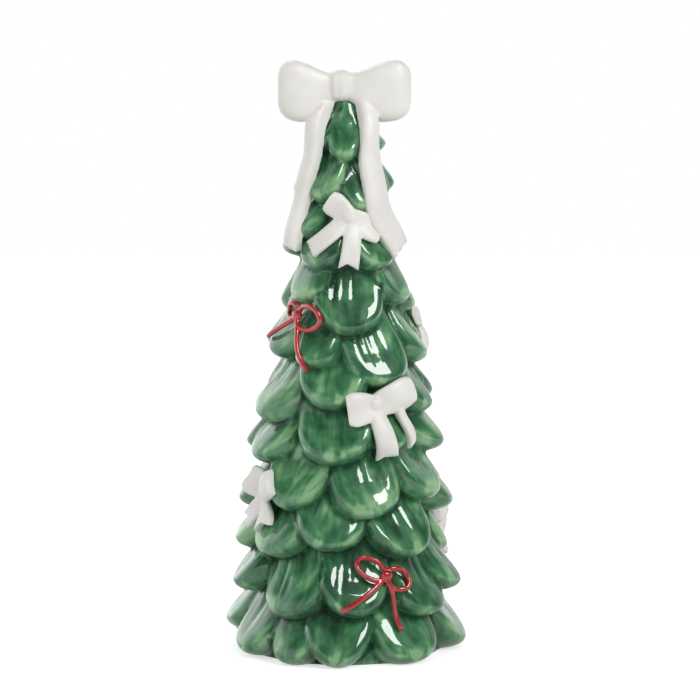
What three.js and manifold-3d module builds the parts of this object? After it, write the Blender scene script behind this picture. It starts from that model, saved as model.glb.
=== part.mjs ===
// A tabletop Christmas tree in glazed earthenware: one hollow slip-cast body of overlapping boughs, with
// ribbon bows of modelled clay stuck on with slip. +Z is up, the tree faces -Y, and the table is at Z = 0.
import * as THREE from 'three';
import { mergeVertices } from 'three/addons/utils/BufferGeometryUtils.js';
import Module from 'manifold-3d';

const wasm = await Module();
wasm.setup();

// Driving dimensions, in millimetres. Azimuths are in degrees round the trunk: 0 is the front, 90 the
// viewer's right.
const JOINT = 0.3; // slip joint between two pieces that seat on each other

// The main sizes. The tables further down are drawn at these sizes, and stretch with them.
const CASTING_HEIGHT = 283; // from the table to the trunk's tip
const FOOT_WIDTH = 126; // across the lowest boughs
const CROWN_BOW_WIDTH = 68; // across both loops of the bow on the tip
const WHITE_BOW_SPAN = 35; // across both loops of the widest small white bow
const RED_BOW_SPAN = 29; // across both loops of the widest red bow

// The trunk, under the boughs: radius by height.
const TRUNK = [[0, 49], [31, 45], [98, 38], [143, 31], [202, 21.5], [254, 12], [276, 9], [283, 6]];
const TRUNK_SIDES = 18;
// How far out a bough's lip stands, by the height of its lowest line.
const REACH = [
  [0, 63], [33, 62], [73, 56], [97, 53.5], [118, 47.5], [150, 43], [178, 35], [203, 32.5], [231, 26],
  [255, 20.5],
];

// The casting: one wall, a floor, and a hole in it where the slip was poured out. It stands on a foot ring.
const WALL = 4;
const FLOOR = 5;
const CROWN_WALL = 16; // solid clay above the hollow
const VENT_RADIUS = 12;
const VENT_SIDES = 18;
const FOOT_RING_RADIUS = 41; // inside of the foot ring
const FOOT_RING_HEIGHT = 1.2;
const FOOT_RING_SIDES = 24;

// One bough: a tongue that flares out to a rounded lip and tucks back under it.
const BOUGH_LENGTH = 40; // from its lowest line up to its root
const TOP_BOUGH_LENGTH = 31; // the same, for the highest boughs
const SHORTENING = [[200, BOUGH_LENGTH], [255, TOP_BOUGH_LENGTH]]; // where one turns into the other
const LIP_HEIGHT = 5.5; // of the lip's outermost line above the lowest line
const LIP_DEPTH = 3.6; // of the lip's rounded edge, below its outermost line
const LIP_ROUND = 2.4; // how far the lip's lower edge is set in
const UNDERCUT = 14; // how far the underside runs back in
const UNDERCUT_DROP = 1; // how far the underside falls below the lowest line on its way in
const BURIED = 2.5; // how far a bough's edges lie inside the trunk
const ROOT_NARROWING = 0.62; // a bough's width at its root, as a share of its full width
const LIP_CORNER_RISE = 0.82; // how far a lip rises to its corners, against its half width
const CORNER_RISE_SPREAD = 0.26; // by which that varies from bough to bough
const TILT = 9; // degrees by which a bough leans to one side or the other, at most
const RISE_STEP = 3.7; // radians of those two variations from one bough of the table to the next
const TILT_STEP = 2.4;
const FULLNESS = 0.75; // the lower, the squarer a bough is from side to side
const BARE_TIP = 4; // of the trunk, above the highest root
const BROAD = 0.139; // half width from which a bough gets more rows and columns, against the foot's width
// Rows of a bough from its root to its lip: share of the way down, share of the way out.
const BROAD_ROWS = [[0, 0], [0.45, 0.3], [0.8, 0.76], [1, 1]];
const NARROW_ROWS = [[0, 0], [0.6, 0.45], [1, 1]];
const BROAD_COLUMNS = [-1, -0.74, -0.27, 0.27, 0.74, 1];
const NARROW_COLUMNS = [-1, -0.68, 0, 0.68, 1];

// The boughs, from the table up: azimuth, lowest line, half width, and how far one stands back from its row.
const BOUGHS = [
  [-60, 1, 16], [-30, 0, 14], [-4, 0, 17], [36, 0, 18], [82, 1, 17],
  [115, 0, 17], [147, 0, 17], [180, 0, 17], [-147, 0, 17], [-116, 0, 16], [-90, 9, 13],
  [-32, 23, 18], [5, 25, 18], [48, 23, 16],
  [110, 26, 16], [147, 23, 17], [-176, 26, 17], [-140, 23, 16], [-106, 27, 14],
  [-70, 33, 14], [72, 33, 13],
  [-76, 54, 12], [-45, 53, 18], [-9, 58, 18], [35, 53, 18],
  [97, 48, 14, 7], [129, 53, 16], [164, 49, 17], [-160, 53, 17], [-124, 50, 16],
  [-86, 74, 14], [-35, 77, 17], [12, 74, 18], [57, 81, 15], [82, 73, 12],
  [115, 78, 16], [151, 76, 17], [-172, 79, 17], [-136, 76, 16],
  [-63, 99, 14], [-8, 101, 20], [33, 107, 13], [80, 104, 13],
  [106, 101, 13], [137, 103, 15], [171, 101, 16], [-155, 104, 16], [-121, 101, 15], [-92, 103, 12],
  [-62, 120, 15, -3], [-11, 128, 18], [42, 130, 12], [72, 124, 12],
  [103, 128, 14], [138, 127, 15], [174, 130, 16], [-150, 127, 15], [-117, 130, 13], [-88, 122, 12],
  [-26, 148, 12], [-62, 152, 13], [27, 139, 17], [80, 149, 13],
  [116, 152, 14], [153, 150, 14], [-170, 153, 14], [-133, 151, 14], [-102, 155, 11],
  [3, 165, 18], [-47, 180, 13], [62, 179, 13],
  [94, 174, 12], [132, 177, 13], [170, 174, 13], [-150, 177, 13], [-110, 174, 13], [-80, 173, 9, 6],
  [-77, 204, 9, -1.5], [-48, 213, 8], [-32, 197, 14], [36, 197, 13], [80, 207, 11],
  [115, 202, 11], [152, 205, 12], [-168, 202, 12], [-128, 205, 12], [-100, 203, 9],
  [-38, 231, 11], [24, 226, 10], [52, 233, 9], [87, 236, 9],
  [130, 233, 10], [174, 235, 10], [-140, 233, 10], [-90, 233, 9, -1.5],
  [-5, 252, 9], [-60, 257, 6], [55, 257, 6], [88, 256, 8],
  [138, 258, 8], [-170, 256, 8], [-110, 258, 8],
];

// The crown bow, which straddles the tree's tip.
const CROWN_KNOT = { width: 12.6, height: 16.4, depth: 15 };
const CROWN_FORWARD = 3; // the bow's middle stands this far in front of the trunk's axis
const CROWN_ASIDE = 2.8; // and this far to the viewer's left of it
const CROWN_LIFT = 8; // of the knot's middle above the tip
const LOOP_SIDES = 12;
const LOOP_ROUNDNESS = 0.72; // of a loop's section: 1 is an ellipse, less is squarer
// A loop's outline: distance from the knot's middle, top and bottom above or below it, half depth.
const CROWN_LOOP = [
  [3, 6.2, -7.6, 4.5], [8, 6.9, -10.6, 5.6], [13, 8.8, -15.2, 7], [18, 11, -18.4, 8.2], [26, 12.9, -18, 8.7],
  [32, 10.2, -14.4, 6.4], [34, 4.6, -8, 3],
];
const LOOP_SHARES = { left: 0.94, right: 1.06 }; // of a loop's drawn length

// Ribbons are straps of clay, laid on the boughs. They bridge the narrow dips between them: how far out a
// ribbon feels for the boughs, and how far its clay reaches down into the dips.
const BOW_DRAPE = { reach: 3.5, laidIn: 1.2 };
const TAIL_DRAPE = { reach: 6, laidIn: 4 };
const TAIL_CLAY = 3; // thickness of the crown bow's tails
const BOW_CLAY = 3.6; // thickness of the small white bows
const STRAP_TOP = [[-1, 0.35], [-0.5, 1], [0.5, 1], [1, 0.35]]; // shares of half width and of thickness
const STRAP_BASE = [0.9, -0.9]; // shares of half width
const FORK_TURN = 0.6; // share of half width where a forked end is neither notched nor drawn out
const FORK = 4.5; // depth of the notch in a crown tail's end
const BOW_FORK = 3; // the same, in a small bow's tail

// The crown bow's tails, from the knot down to the forked end: azimuth, height, half width, and how far the
// clay stands off the tree, to meet the loops.
const LEFT_TAIL = [
  [-61, 282, 3.4, 0.6], [-59, 276, 4.6, 3.4], [-57, 266, 5.3, 1], [-57, 254, 5.4, 0], [-58, 242, 5.4, 0],
  [-59, 228, 5, 0], [-58, 209, 4.4, 0],
];
const RIGHT_TAIL = [
  [54, 282, 3.4, 0.6], [46, 276, 4.4, 2.6], [39, 266, 5, 0.4], [35, 253, 6.2, 0], [36, 240, 7, 0],
  [41, 226, 8, 0], [59, 209, 8, 0],
];

// The small white bows. A loop is a direction in degrees, a length and a half width; a tail is the same,
// after the place where it comes out from under the knot: across and up. Directions turn anticlockwise from
// the viewer's right.
const WHITE_BOWS = [
  {
    name: 'front_bow', azimuth: 4, height: 226,
    loops: [[146, 13, 6.6], [-34, 17, 6.6]],
    tails: [[-2, -2, 226, 20, 5], [2, -2, 264, 24, 4.8]],
  },
  {
    name: 'right_bow', azimuth: 20, height: 131,
    loops: [[188, 14, 8.8], [20, 21, 8.4]],
    tails: [[0, -3, 281, 23, 4.8], [12, -2, 288, 19, 2.8]],
  },
  {
    name: 'left_bow', azimuth: -59, height: 84,
    loops: [[144, 14, 7.8], [34, 14, 7.8]],
    tails: [[-1, -3, 240, 12, 5.6], [3, -3, 290, 13, 5.6]],
  },
  {
    name: 'far_right_bow', azimuth: 116, height: 68,
    loops: [[176, 12, 6.4], [10, 12, 6.4]],
    tails: [[-2, -3, 250, 19, 4], [3, -3, 286, 19, 4]],
  },
  {
    name: 'upper_right_bow', azimuth: 117, height: 171,
    loops: [[172, 11, 6], [2, 11, 6]],
    tails: [[-2, -3, 244, 17, 3.6], [2, -3, 280, 17, 3.6]],
  },
];
const BOW_KNOT = { width: 8, height: 9, depth: 7 };

// The red bows, of thin rolled clay, given in the same way.
const RED_BOWS = [
  {
    name: 'left_red_bow', azimuth: -46, height: 175,
    loops: [[150, 9, 4], [-6, 15, 6]],
    tails: [[0, 0, 218, 17, 0], [0, 0, 292, 26, 0]],
  },
  {
    name: 'right_red_bow', azimuth: 22, height: 46,
    loops: [[154, 16, 4.6], [-18, 13, 5.2]],
    tails: [[0, 0, 216, 25, 0], [0, 0, 284, 26, 0]],
  },
];
const COIL_RADIUS = 1.3;
const COIL_SIDES = 5;
const COIL_STEPS = 8;
const COIL_SEAT = 0.6; // how high a coil's middle lies above the boughs, against its radius
const RED_LOOP_TURN = 0.92; // share of a half turn that a red loop runs each way from its tip
const RED_TAIL_START = 0.5; // steps from the knot's middle to where a red tail starts
const RED_KNOT = { width: 5, height: 5, depth: 5 };

const GREEN = { color: 0x2f6b43, roughness: 0.12, metalness: 0 };
const WHITE = { color: 0xe9e8e2, roughness: 0.15, metalness: 0 };
const RED = { color: 0xb5202a, roughness: 0.15, metalness: 0 };

const radians = THREE.MathUtils.degToRad;

// How far the tables are stretched to the main sizes.
const spanOf = ({ loops }) => loops[0][1] + loops[1][1];
const upward = CASTING_HEIGHT / TRUNK[TRUNK.length - 1][0];
const outward = FOOT_WIDTH / (2 * REACH[0][1]);
const crownStretch = CROWN_BOW_WIDTH / (2 * CROWN_LOOP[CROWN_LOOP.length - 1][0]);
const whiteStretch = WHITE_BOW_SPAN / Math.max(...WHITE_BOWS.map(spanOf));
const redStretch = RED_BOW_SPAN / Math.max(...RED_BOWS.map(spanOf));
const trunk = TRUNK.map(([height, radius]) => [height * upward, radius * outward]);
const reaches = REACH.map(([low, radius]) => [low * upward, radius * outward]);
const lengths = SHORTENING.map(([low, length]) => [low * upward, length]);

// The value of a [position, value] profile at a position.
function along(profile, position) {
  const last = profile.length - 1;
  if (position <= profile[0][0]) return profile[0][1];
  if (position >= profile[last][0]) return profile[last][1];
  const i = profile.findIndex((point) => point[0] > position);
  const [a, b] = [profile[i - 1], profile[i]];
  return a[1] + ((b[1] - a[1]) * (position - a[0])) / (b[0] - a[0]);
}

// The point at a radius, an azimuth in radians and a height.
function around(radius, azimuth, height) {
  return new THREE.Vector3(radius * Math.sin(azimuth), -radius * Math.cos(azimuth), height);
}

function toSolid(geometry) {
  const bare = geometry.clone();
  bare.deleteAttribute('normal');
  bare.deleteAttribute('uv');
  const merged = mergeVertices(bare, 1e-4);
  return new wasm.Manifold(new wasm.Mesh({
    numProp: 3,
    vertProperties: new Float32Array(merged.attributes.position.array),
    triVerts: new Uint32Array(merged.index.array),
  }));
}

function toGeometry(solid) {
  const mesh = solid.getMesh();
  return new THREE.BufferGeometry()
    .setAttribute('position', new THREE.BufferAttribute(mesh.vertProperties, 3))
    .setIndex(new THREE.BufferAttribute(mesh.triVerts, 1));
}

// The largest body of a cut solid: a cut can leave loose crumbs behind.
function mainBody(solid) {
  return solid.decompose().reduce((a, b) => (b.volume() > a.volume() ? b : a));
}

function fromFaces(points, faces) {
  const geometry = new THREE.BufferGeometry().setFromPoints(points);
  geometry.setIndex(faces);
  return toSolid(geometry);
}

// A solid over closed rings of points that all have the same count, with its two ends capped.
function loft(rings) {
  const count = rings[0].length;
  const faces = [];
  for (let i = 0; i + 1 < rings.length; i++) {
    for (let j = 0; j < count; j++) {
      const a = i * count + j;
      const b = i * count + ((j + 1) % count);
      faces.push(a, b, b + count, a, b + count, a + count);
    }
  }
  const lastRing = (rings.length - 1) * count;
  for (let j = 1; j + 1 < count; j++) {
    faces.push(0, j + 1, j, lastRing, lastRing + j, lastRing + j + 1);
  }
  const solid = fromFaces(rings.flat(), faces);
  return solid.volume() > 0 ? solid : fromFaces(rings.flat(), faces.reverse());
}

function revolve(profile, sides) {
  const geometry = new THREE.LatheGeometry(profile.map(([r, z]) => new THREE.Vector2(r, z)), sides);
  return toSolid(geometry.rotateX(Math.PI / 2));
}

function disc(radius, low, high, sides) {
  return revolve([[0, low], [radius, low], [radius, high], [0, high]], sides);
}

const isBroad = (halfWidth) => halfWidth > BROAD * FOOT_WIDTH;

// The rows of a bough down its middle, from its root over its lip to its underside.
function boughRows(low, halfWidth, setBack, swell) {
  const top = Math.min(low + along(lengths, low), CASTING_HEIGHT - BARE_TIP) + swell;
  const lip = low + LIP_HEIGHT;
  const root = along(trunk, top);
  const reach = along(reaches, low) - setBack;
  const front = (isBroad(halfWidth) ? BROAD_ROWS : NARROW_ROWS).map(([down, out]) => ({
    down, radius: root + out * (reach - root), height: top - down * (top - lip),
  }));
  return [
    ...front,
    { down: 1, radius: reach - LIP_ROUND, height: low + LIP_HEIGHT - LIP_DEPTH },
    { down: 1, radius: reach - UNDERCUT, height: low - UNDERCUT_DROP - swell },
  ];
}

// Faces over a grid of points, and from its border to one more point that comes after them.
function patchFaces(rows, columns) {
  const faces = [];
  for (let i = 0; i + 1 < rows; i++) {
    for (let j = 0; j + 1 < columns; j++) {
      const a = i * columns + j;
      faces.push(a, a + columns, a + columns + 1, a, a + columns + 1, a + 1);
    }
  }
  const lastRow = (rows - 1) * columns;
  const rim = [];
  for (let j = 0; j + 1 < columns; j++) rim.push(j);
  for (let i = 0; i + 1 < rows; i++) rim.push(i * columns + columns - 1);
  for (let j = columns - 1; j > 0; j--) rim.push(lastRow + j);
  for (let i = rows - 1; i > 0; i--) rim.push(i * columns);
  rim.forEach((a, k) => faces.push(a, rim[(k + 1) % rim.length], rows * columns));
  return faces;
}

// One bough, grown by swell: a patch of rows and columns whose border lies inside the trunk, where it is
// closed. Its place in the table sets how it leans and how round its lip is.
function bough([azimuth, lowestLine, drawnHalfWidth, setBack = 0], index, swell) {
  const low = lowestLine * upward;
  const halfWidth = drawnHalfWidth * outward;
  const cornerRise = halfWidth * (LIP_CORNER_RISE + CORNER_RISE_SPREAD * Math.sin(RISE_STEP * index));
  const tilt = radians(TILT * Math.sin(TILT_STEP * index));
  const rows = boughRows(low, halfWidth, setBack, swell);
  const across = isBroad(halfWidth) ? BROAD_COLUMNS : NARROW_COLUMNS;
  const middle = (rows[0].height - swell + low) / 2;
  const points = [];
  for (const row of rows) {
    const widening = Math.sin((row.down * Math.PI) / 2);
    const width = (halfWidth + swell) * (ROOT_NARROWING + (1 - ROOT_NARROWING) * widening);
    for (const u of across) {
      const bulge = Math.sqrt(1 - u * u);
      const height = row.height + (1 - bulge) * cornerRise * row.down;
      const inside = along(trunk, height) - BURIED;
      const radius = inside + (row.radius + swell - inside) * bulge ** FULLNESS;
      const onPlane = new THREE.Vector2(u * width, height - middle).rotateAround(new THREE.Vector2(), tilt);
      points.push(new THREE.Vector3(onPlane.x, -radius, middle + onPlane.y));
    }
  }
  points.push(new THREE.Vector3(0, -(along(trunk, middle) - 2 * BURIED), middle));
  const turned = points.map((point) => point.applyAxisAngle(new THREE.Vector3(0, 0, 1), radians(azimuth)));
  return fromFaces(turned, patchFaces(rows.length, across.length));
}

// The casting's outside, grown by swell, and without its hollow.
function outside(swell) {
  const below = -UNDERCUT_DROP - swell;
  const flank = trunk.map(([height, radius]) => [radius + swell, height]);
  const profile = [[0, below], [flank[0][0], below], ...flank, [0, CASTING_HEIGHT + swell]];
  const boughs = BOUGHS.map((spec, index) => bough(spec, index, swell));
  return wasm.Manifold.union([revolve(profile, TRUNK_SIDES), ...boughs]);
}

function casting() {
  const roof = CASTING_HEIGHT - CROWN_WALL;
  const wallAt = (height) => [along(trunk, height) - WALL, height];
  const bends = trunk.map(([height]) => height).filter((height) => height > FLOOR && height < roof);
  const hollow = revolve([[0, FLOOR], ...[FLOOR, ...bends, roof].map(wallAt), [0, roof]], TRUNK_SIDES);
  const underTable = disc(FOOT_WIDTH, -10 * UNDERCUT_DROP, 0, 4);
  const recess = disc(FOOT_RING_RADIUS, -FLOOR, FOOT_RING_HEIGHT, FOOT_RING_SIDES);
  const vent = disc(VENT_RADIUS, -FLOOR, 2 * FLOOR, VENT_SIDES);
  return mainBody(outside(0).subtract(hollow).subtract(underTable).subtract(recess).subtract(vent));
}

// A map of how far out the casting stands, by azimuth and height, with its narrow dips bridged.
const MAP_TURN = radians(2);
const MAP_RISE = 1.5;
const MAP_COLUMNS = Math.round((2 * Math.PI) / MAP_TURN);
const MAP_ROWS = Math.ceil(CASTING_HEIGHT / MAP_RISE) + 1;

function mapCell(column, row) {
  const wrapped = ((column % MAP_COLUMNS) + MAP_COLUMNS) % MAP_COLUMNS;
  return Math.min(Math.max(row, 0), MAP_ROWS - 1) * MAP_COLUMNS + wrapped;
}

function surfaceMap(solid) {
  const { position } = toGeometry(solid).toNonIndexed().attributes;
  const map = new Float32Array(MAP_COLUMNS * MAP_ROWS);
  const [a, b, c, p] = [0, 1, 2, 3].map(() => new THREE.Vector3());
  for (let i = 0; i < position.count; i += 3) {
    a.fromBufferAttribute(position, i);
    b.fromBufferAttribute(position, i + 1);
    c.fromBufferAttribute(position, i + 2);
    const steps = Math.ceil(Math.max(a.distanceTo(b), b.distanceTo(c), c.distanceTo(a)));
    for (let u = 0; u <= steps; u++) {
      for (let v = 0; v <= steps - u; v++) {
        p.copy(a).multiplyScalar(steps - u - v).addScaledVector(b, u).addScaledVector(c, v);
        p.divideScalar(steps);
        const cell = mapCell(Math.round(Math.atan2(p.x, -p.y) / MAP_TURN), Math.round(p.z / MAP_RISE));
        map[cell] = Math.max(map[cell], Math.hypot(p.x, p.y));
      }
    }
  }
  return map;
}

// Each cell of a map as a function of its neighbours within a distance.
function filterMap(map, distance, combine) {
  const rise = Math.round(distance / MAP_RISE);
  return map.map((radius, cell) => {
    const turn = Math.min(Math.round(distance / (Math.max(radius, 1) * MAP_TURN)), 12);
    const near = [];
    for (let i = -turn; i <= turn; i++) {
      for (let j = -rise; j <= rise; j++) {
        near.push(map[mapCell((cell % MAP_COLUMNS) + i, Math.floor(cell / MAP_COLUMNS) + j)]);
      }
    }
    return combine(near);
  });
}

const body = casting();
const mean = (values) => values.reduce((a, b) => a + b) / values.length;
const bodyMap = surfaceMap(body);
for (const drape of [BOW_DRAPE, TAIL_DRAPE]) {
  const bridged = filterMap(bodyMap, drape.reach, (near) => Math.max(...near));
  drape.map = filterMap(filterMap(bridged, drape.reach, mean), drape.reach, mean);
}

// How far out a ribbon lies at an azimuth and a height.
function radiusOn({ map }, azimuth, height) {
  const column = azimuth / MAP_TURN;
  const row = height / MAP_RISE;
  const [i, j] = [Math.floor(column), Math.floor(row)];
  const [u, v] = [column - i, row - j];
  const lower = map[mapCell(i, j)] * (1 - u) + map[mapCell(i + 1, j)] * u;
  const upper = map[mapCell(i, j + 1)] * (1 - u) + map[mapCell(i + 1, j + 1)] * u;
  return lower * (1 - v) + upper * v;
}

// A point brought to the ribbons' surface along its own radius, and raised by lift.
function lay(point, lift, drape = BOW_DRAPE) {
  const azimuth = Math.atan2(point.x, -point.y);
  return around(radiusOn(drape, azimuth, point.z) + lift, azimuth, point.z);
}

// A strap of clay laid along stations: each is a point on the tree, a half width, and how far the strap's top
// stands off the tree. A fork notches its end.
function strap(stations, thickness, fork, swell, drape = BOW_DRAPE) {
  const laid = stations.map(({ point, half, lift = 0 }) => ({ point: lay(point, lift, drape), half, lift }));
  const rings = laid.map(({ point, half, lift }, i) => {
    const before = laid[Math.max(i - 1, 0)].point;
    const after = laid[Math.min(i + 1, laid.length - 1)].point;
    const forward = after.clone().sub(before).normalize();
    const facing = new THREE.Vector3(point.x, point.y, 0).normalize();
    const across = new THREE.Vector3().crossVectors(forward, facing).normalize();
    const end = i === laid.length - 1;
    const growth = (end ? swell : 0) - (i === 0 ? swell : 0);
    const cornerAt = (u, height) => {
      const shift = growth + (end ? fork * (Math.abs(u) - FORK_TURN) : 0);
      const corner = point.clone().addScaledVector(across, u * (half + swell));
      return lay(corner.addScaledVector(forward, shift), height, drape);
    };
    return [
      ...STRAP_TOP.map(([u, rise]) => cornerAt(u, lift + thickness * rise + swell)),
      ...STRAP_BASE.map((u) => cornerAt(u, -drape.laidIn - swell)),
    ];
  });
  return loft(rings);
}

// A coil of rolled clay laid along points on the tree.
function coil(points, swell) {
  const radius = COIL_RADIUS + swell;
  const laid = points.map((point) => lay(point, COIL_RADIUS * COIL_SEAT));
  const rings = laid.map((point, i) => {
    const forward = laid[Math.min(i + 1, laid.length - 1)].clone().sub(laid[Math.max(i - 1, 0)]).normalize();
    const facing = new THREE.Vector3(point.x, point.y, 0).normalize();
    const across = new THREE.Vector3().crossVectors(forward, facing).normalize();
    const raised = new THREE.Vector3().crossVectors(across, forward);
    const growth = (i === laid.length - 1 ? swell : 0) - (i === 0 ? swell : 0);
    return Array.from({ length: COIL_SIDES }, (_, k) => {
      const angle = (2 * Math.PI * k) / COIL_SIDES;
      return point.clone().addScaledVector(across, radius * Math.cos(angle))
        .addScaledVector(raised, radius * Math.sin(angle)).addScaledVector(forward, growth);
    });
  });
  return loft(rings);
}

function lump({ width, height, depth }, centre, azimuth, swell) {
  const geometry = new THREE.SphereGeometry(1, 8, 5).rotateX(Math.PI / 2)
    .scale(width / 2 + swell, depth / 2 + swell, height / 2 + swell).rotateZ(azimuth);
  return toSolid(geometry.translate(centre.x, centre.y, centre.z));
}

const tree = new THREE.Group();
let laidSoFar = outside(JOINT);

function addMesh(name, solid, finish) {
  const mesh = new THREE.Mesh(toGeometry(solid), new THREE.MeshStandardMaterial(finish));
  mesh.name = name;
  tree.add(mesh);
}

// Adds a piece, cut to seat on everything laid before it. The piece is a function of how much it is grown.
function addLaid(name, piece, finish) {
  addMesh(name, mainBody(piece(0).subtract(laidSoFar)), finish);
  laidSoFar = laidSoFar.add(piece(JOINT));
}

function crownLoop(side, length, centre, swell) {
  const rounded = (value) => Math.sign(value) * Math.abs(value) ** LOOP_ROUNDNESS;
  const rings = CROWN_LOOP.map((row) => {
    const [out, top, bottom, depth] = row.map((value) => value * crownStretch);
    const angles = Array.from({ length: LOOP_SIDES }, (_, k) => (2 * Math.PI * k) / LOOP_SIDES);
    return angles.map((angle) => new THREE.Vector3(
      centre.x + side * (length * out + swell),
      centre.y + (depth + swell) * rounded(Math.cos(angle)),
      centre.z + (top + bottom) / 2 + ((top - bottom) / 2 + swell) * rounded(Math.sin(angle)),
    ));
  });
  return loft(rings);
}

function crownTail(path, swell) {
  const stations = path.map(([azimuth, height, half, lift]) => ({
    point: around(1, radians(azimuth), height * upward), half: half * crownStretch, lift: lift * crownStretch,
  }));
  return strap(stations, TAIL_CLAY, FORK, swell, TAIL_DRAPE);
}

function addCrownBow() {
  const centre = new THREE.Vector3(-CROWN_ASIDE, -CROWN_FORWARD, CASTING_HEIGHT + CROWN_LIFT);
  addLaid('crown_knot', (swell) => lump(CROWN_KNOT, centre, 0, swell), WHITE);
  addLaid('crown_loop_left', (swell) => crownLoop(-1, LOOP_SHARES.left, centre, swell), WHITE);
  addLaid('crown_loop_right', (swell) => crownLoop(1, LOOP_SHARES.right, centre, swell), WHITE);
  addLaid('crown_tail_left', (swell) => crownTail(LEFT_TAIL, swell), WHITE);
  addLaid('crown_tail_right', (swell) => crownTail(RIGHT_TAIL, swell), WHITE);
}

// The flat pattern of a small bow, wrapped on the tree: across to the viewer's right and up, from its knot.
function wrap(bow) {
  const azimuth = radians(bow.azimuth);
  const height = bow.height * upward;
  const girth = radiusOn(BOW_DRAPE, azimuth, height);
  return (across, up) => around(1, azimuth + across / girth, height + up);
}

// A row of a bow's table brought to size: every number in it but the direction is a length.
function toSize([across, up, direction, length, half], stretch) {
  return [across * stretch, up * stretch, direction, length * stretch, half * stretch];
}

// The stations of a small bow's loop and tail: share of its length, share of its half width.
const LOOP_STATIONS = [[0.18, 0.6], [0.45, 0.88], [0.75, 1], [1, 0.86]];
const TAIL_STATIONS = [[0, 0.8], [0.35, 0.95], [0.7, 1], [1, 1.05]];

function bowStrap(place, stations, [across, up, direction, length, half], fork, swell) {
  const [c, s] = [Math.cos(radians(direction)), Math.sin(radians(direction))];
  return strap(stations.map(([share, width]) => ({
    point: place(across + c * length * share, up + s * length * share), half: half * width,
  })), BOW_CLAY, fork, swell);
}

function addWhiteBow(bow) {
  const place = wrap(bow);
  const azimuth = radians(bow.azimuth);
  const centre = lay(place(0, 0), BOW_CLAY / 2);
  addLaid(bow.name + '_knot', (swell) => lump(BOW_KNOT, centre, azimuth, swell), WHITE);
  ['left', 'right'].forEach((side, k) => {
    const loop = toSize([0, 0, ...bow.loops[k]], whiteStretch);
    addLaid(`${bow.name}_loop_${side}`, (swell) => bowStrap(place, LOOP_STATIONS, loop, 0, swell), WHITE);
  });
  ['left', 'right'].forEach((side, k) => {
    const tail = toSize(bow.tails[k], whiteStretch);
    const piece = (swell) => bowStrap(place, TAIL_STATIONS, tail, BOW_FORK, swell);
    addLaid(`${bow.name}_tail_${side}`, piece, WHITE);
  });
}

// A red bow's loop leaves the knot, runs round an ellipse and comes back.
function redLoop(place, [, , direction, length, half], swell) {
  const [c, s] = [Math.cos(radians(direction)), Math.sin(radians(direction))];
  const points = [];
  for (let i = 0; i <= COIL_STEPS; i++) {
    const angle = Math.PI * RED_LOOP_TURN * ((2 * i) / COIL_STEPS - 1);
    const out = (length / 2) * (1 + Math.cos(angle));
    const side = half * Math.sin(angle);
    points.push(place(c * out - s * side, s * out + c * side));
  }
  return coil(points, swell);
}

function redTail(place, [, , direction, length], swell) {
  const [c, s] = [Math.cos(radians(direction)), Math.sin(radians(direction))];
  const points = [];
  for (let i = 0; i <= COIL_STEPS / 2; i++) {
    const out = (length * (i + RED_TAIL_START)) / (COIL_STEPS / 2);
    points.push(place(c * out, s * out));
  }
  return coil(points, swell);
}

function addRedBow(bow) {
  const place = wrap(bow);
  const azimuth = radians(bow.azimuth);
  const centre = lay(place(0, 0), COIL_RADIUS);
  addLaid(bow.name + '_knot', (swell) => lump(RED_KNOT, centre, azimuth, swell), RED);
  ['left', 'right'].forEach((side, k) => {
    const loop = toSize([0, 0, ...bow.loops[k]], redStretch);
    addLaid(`${bow.name}_loop_${side}`, (swell) => redLoop(place, loop, swell), RED);
  });
  ['left', 'right'].forEach((side, k) => {
    const tail = toSize(bow.tails[k], redStretch);
    addLaid(`${bow.name}_tail_${side}`, (swell) => redTail(place, tail, swell), RED);
  });
}

addMesh('tree_body', body, GREEN);
addCrownBow();
WHITE_BOWS.forEach(addWhiteBow);
RED_BOWS.forEach(addRedBow);

export default tree;
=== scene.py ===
import math

import bpy
import numpy as np
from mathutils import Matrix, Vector
from mathutils.kdtree import KDTree

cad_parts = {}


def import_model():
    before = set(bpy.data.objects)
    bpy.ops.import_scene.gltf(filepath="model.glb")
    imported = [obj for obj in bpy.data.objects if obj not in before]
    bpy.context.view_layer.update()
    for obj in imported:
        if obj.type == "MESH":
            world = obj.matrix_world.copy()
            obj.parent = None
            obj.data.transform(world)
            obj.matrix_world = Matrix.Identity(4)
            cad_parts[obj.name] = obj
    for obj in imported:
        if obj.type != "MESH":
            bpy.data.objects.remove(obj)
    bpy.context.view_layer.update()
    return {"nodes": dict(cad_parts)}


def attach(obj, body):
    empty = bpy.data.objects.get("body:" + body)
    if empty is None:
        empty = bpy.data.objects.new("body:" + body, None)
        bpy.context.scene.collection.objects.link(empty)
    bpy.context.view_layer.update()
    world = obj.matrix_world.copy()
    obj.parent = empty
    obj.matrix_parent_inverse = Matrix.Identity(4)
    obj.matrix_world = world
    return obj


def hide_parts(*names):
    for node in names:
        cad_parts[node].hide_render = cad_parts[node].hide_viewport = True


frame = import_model()

MM = 0.001
rng = np.random.default_rng(24)

# The trunk under the boughs: radius by height. It is hollow, with one wall, a floor and a vent in the floor.
CASTING_HEIGHT = 283
FOOT_WIDTH = 126
TRUNK = [[0, 49], [31, 45], [98, 38], [143, 31], [202, 21.5], [254, 12], [276, 9], [283, 6]]
REACH = [  # radius of a bough's lip, by the height of its lowest line
    [0, 63], [33, 62], [73, 56], [97, 53.5], [118, 47.5], [150, 43], [178, 35], [203, 32.5], [231, 26],
    [255, 20.5],
]
WALL = 4
FLOOR = 5
CROWN_WALL = 16  # solid clay under the tip
VENT_RADIUS = 12
FOOT_RING_RADIUS = 41
FOOT_RING_HEIGHT = 1.2
TURNED_SIDES = 96

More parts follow.
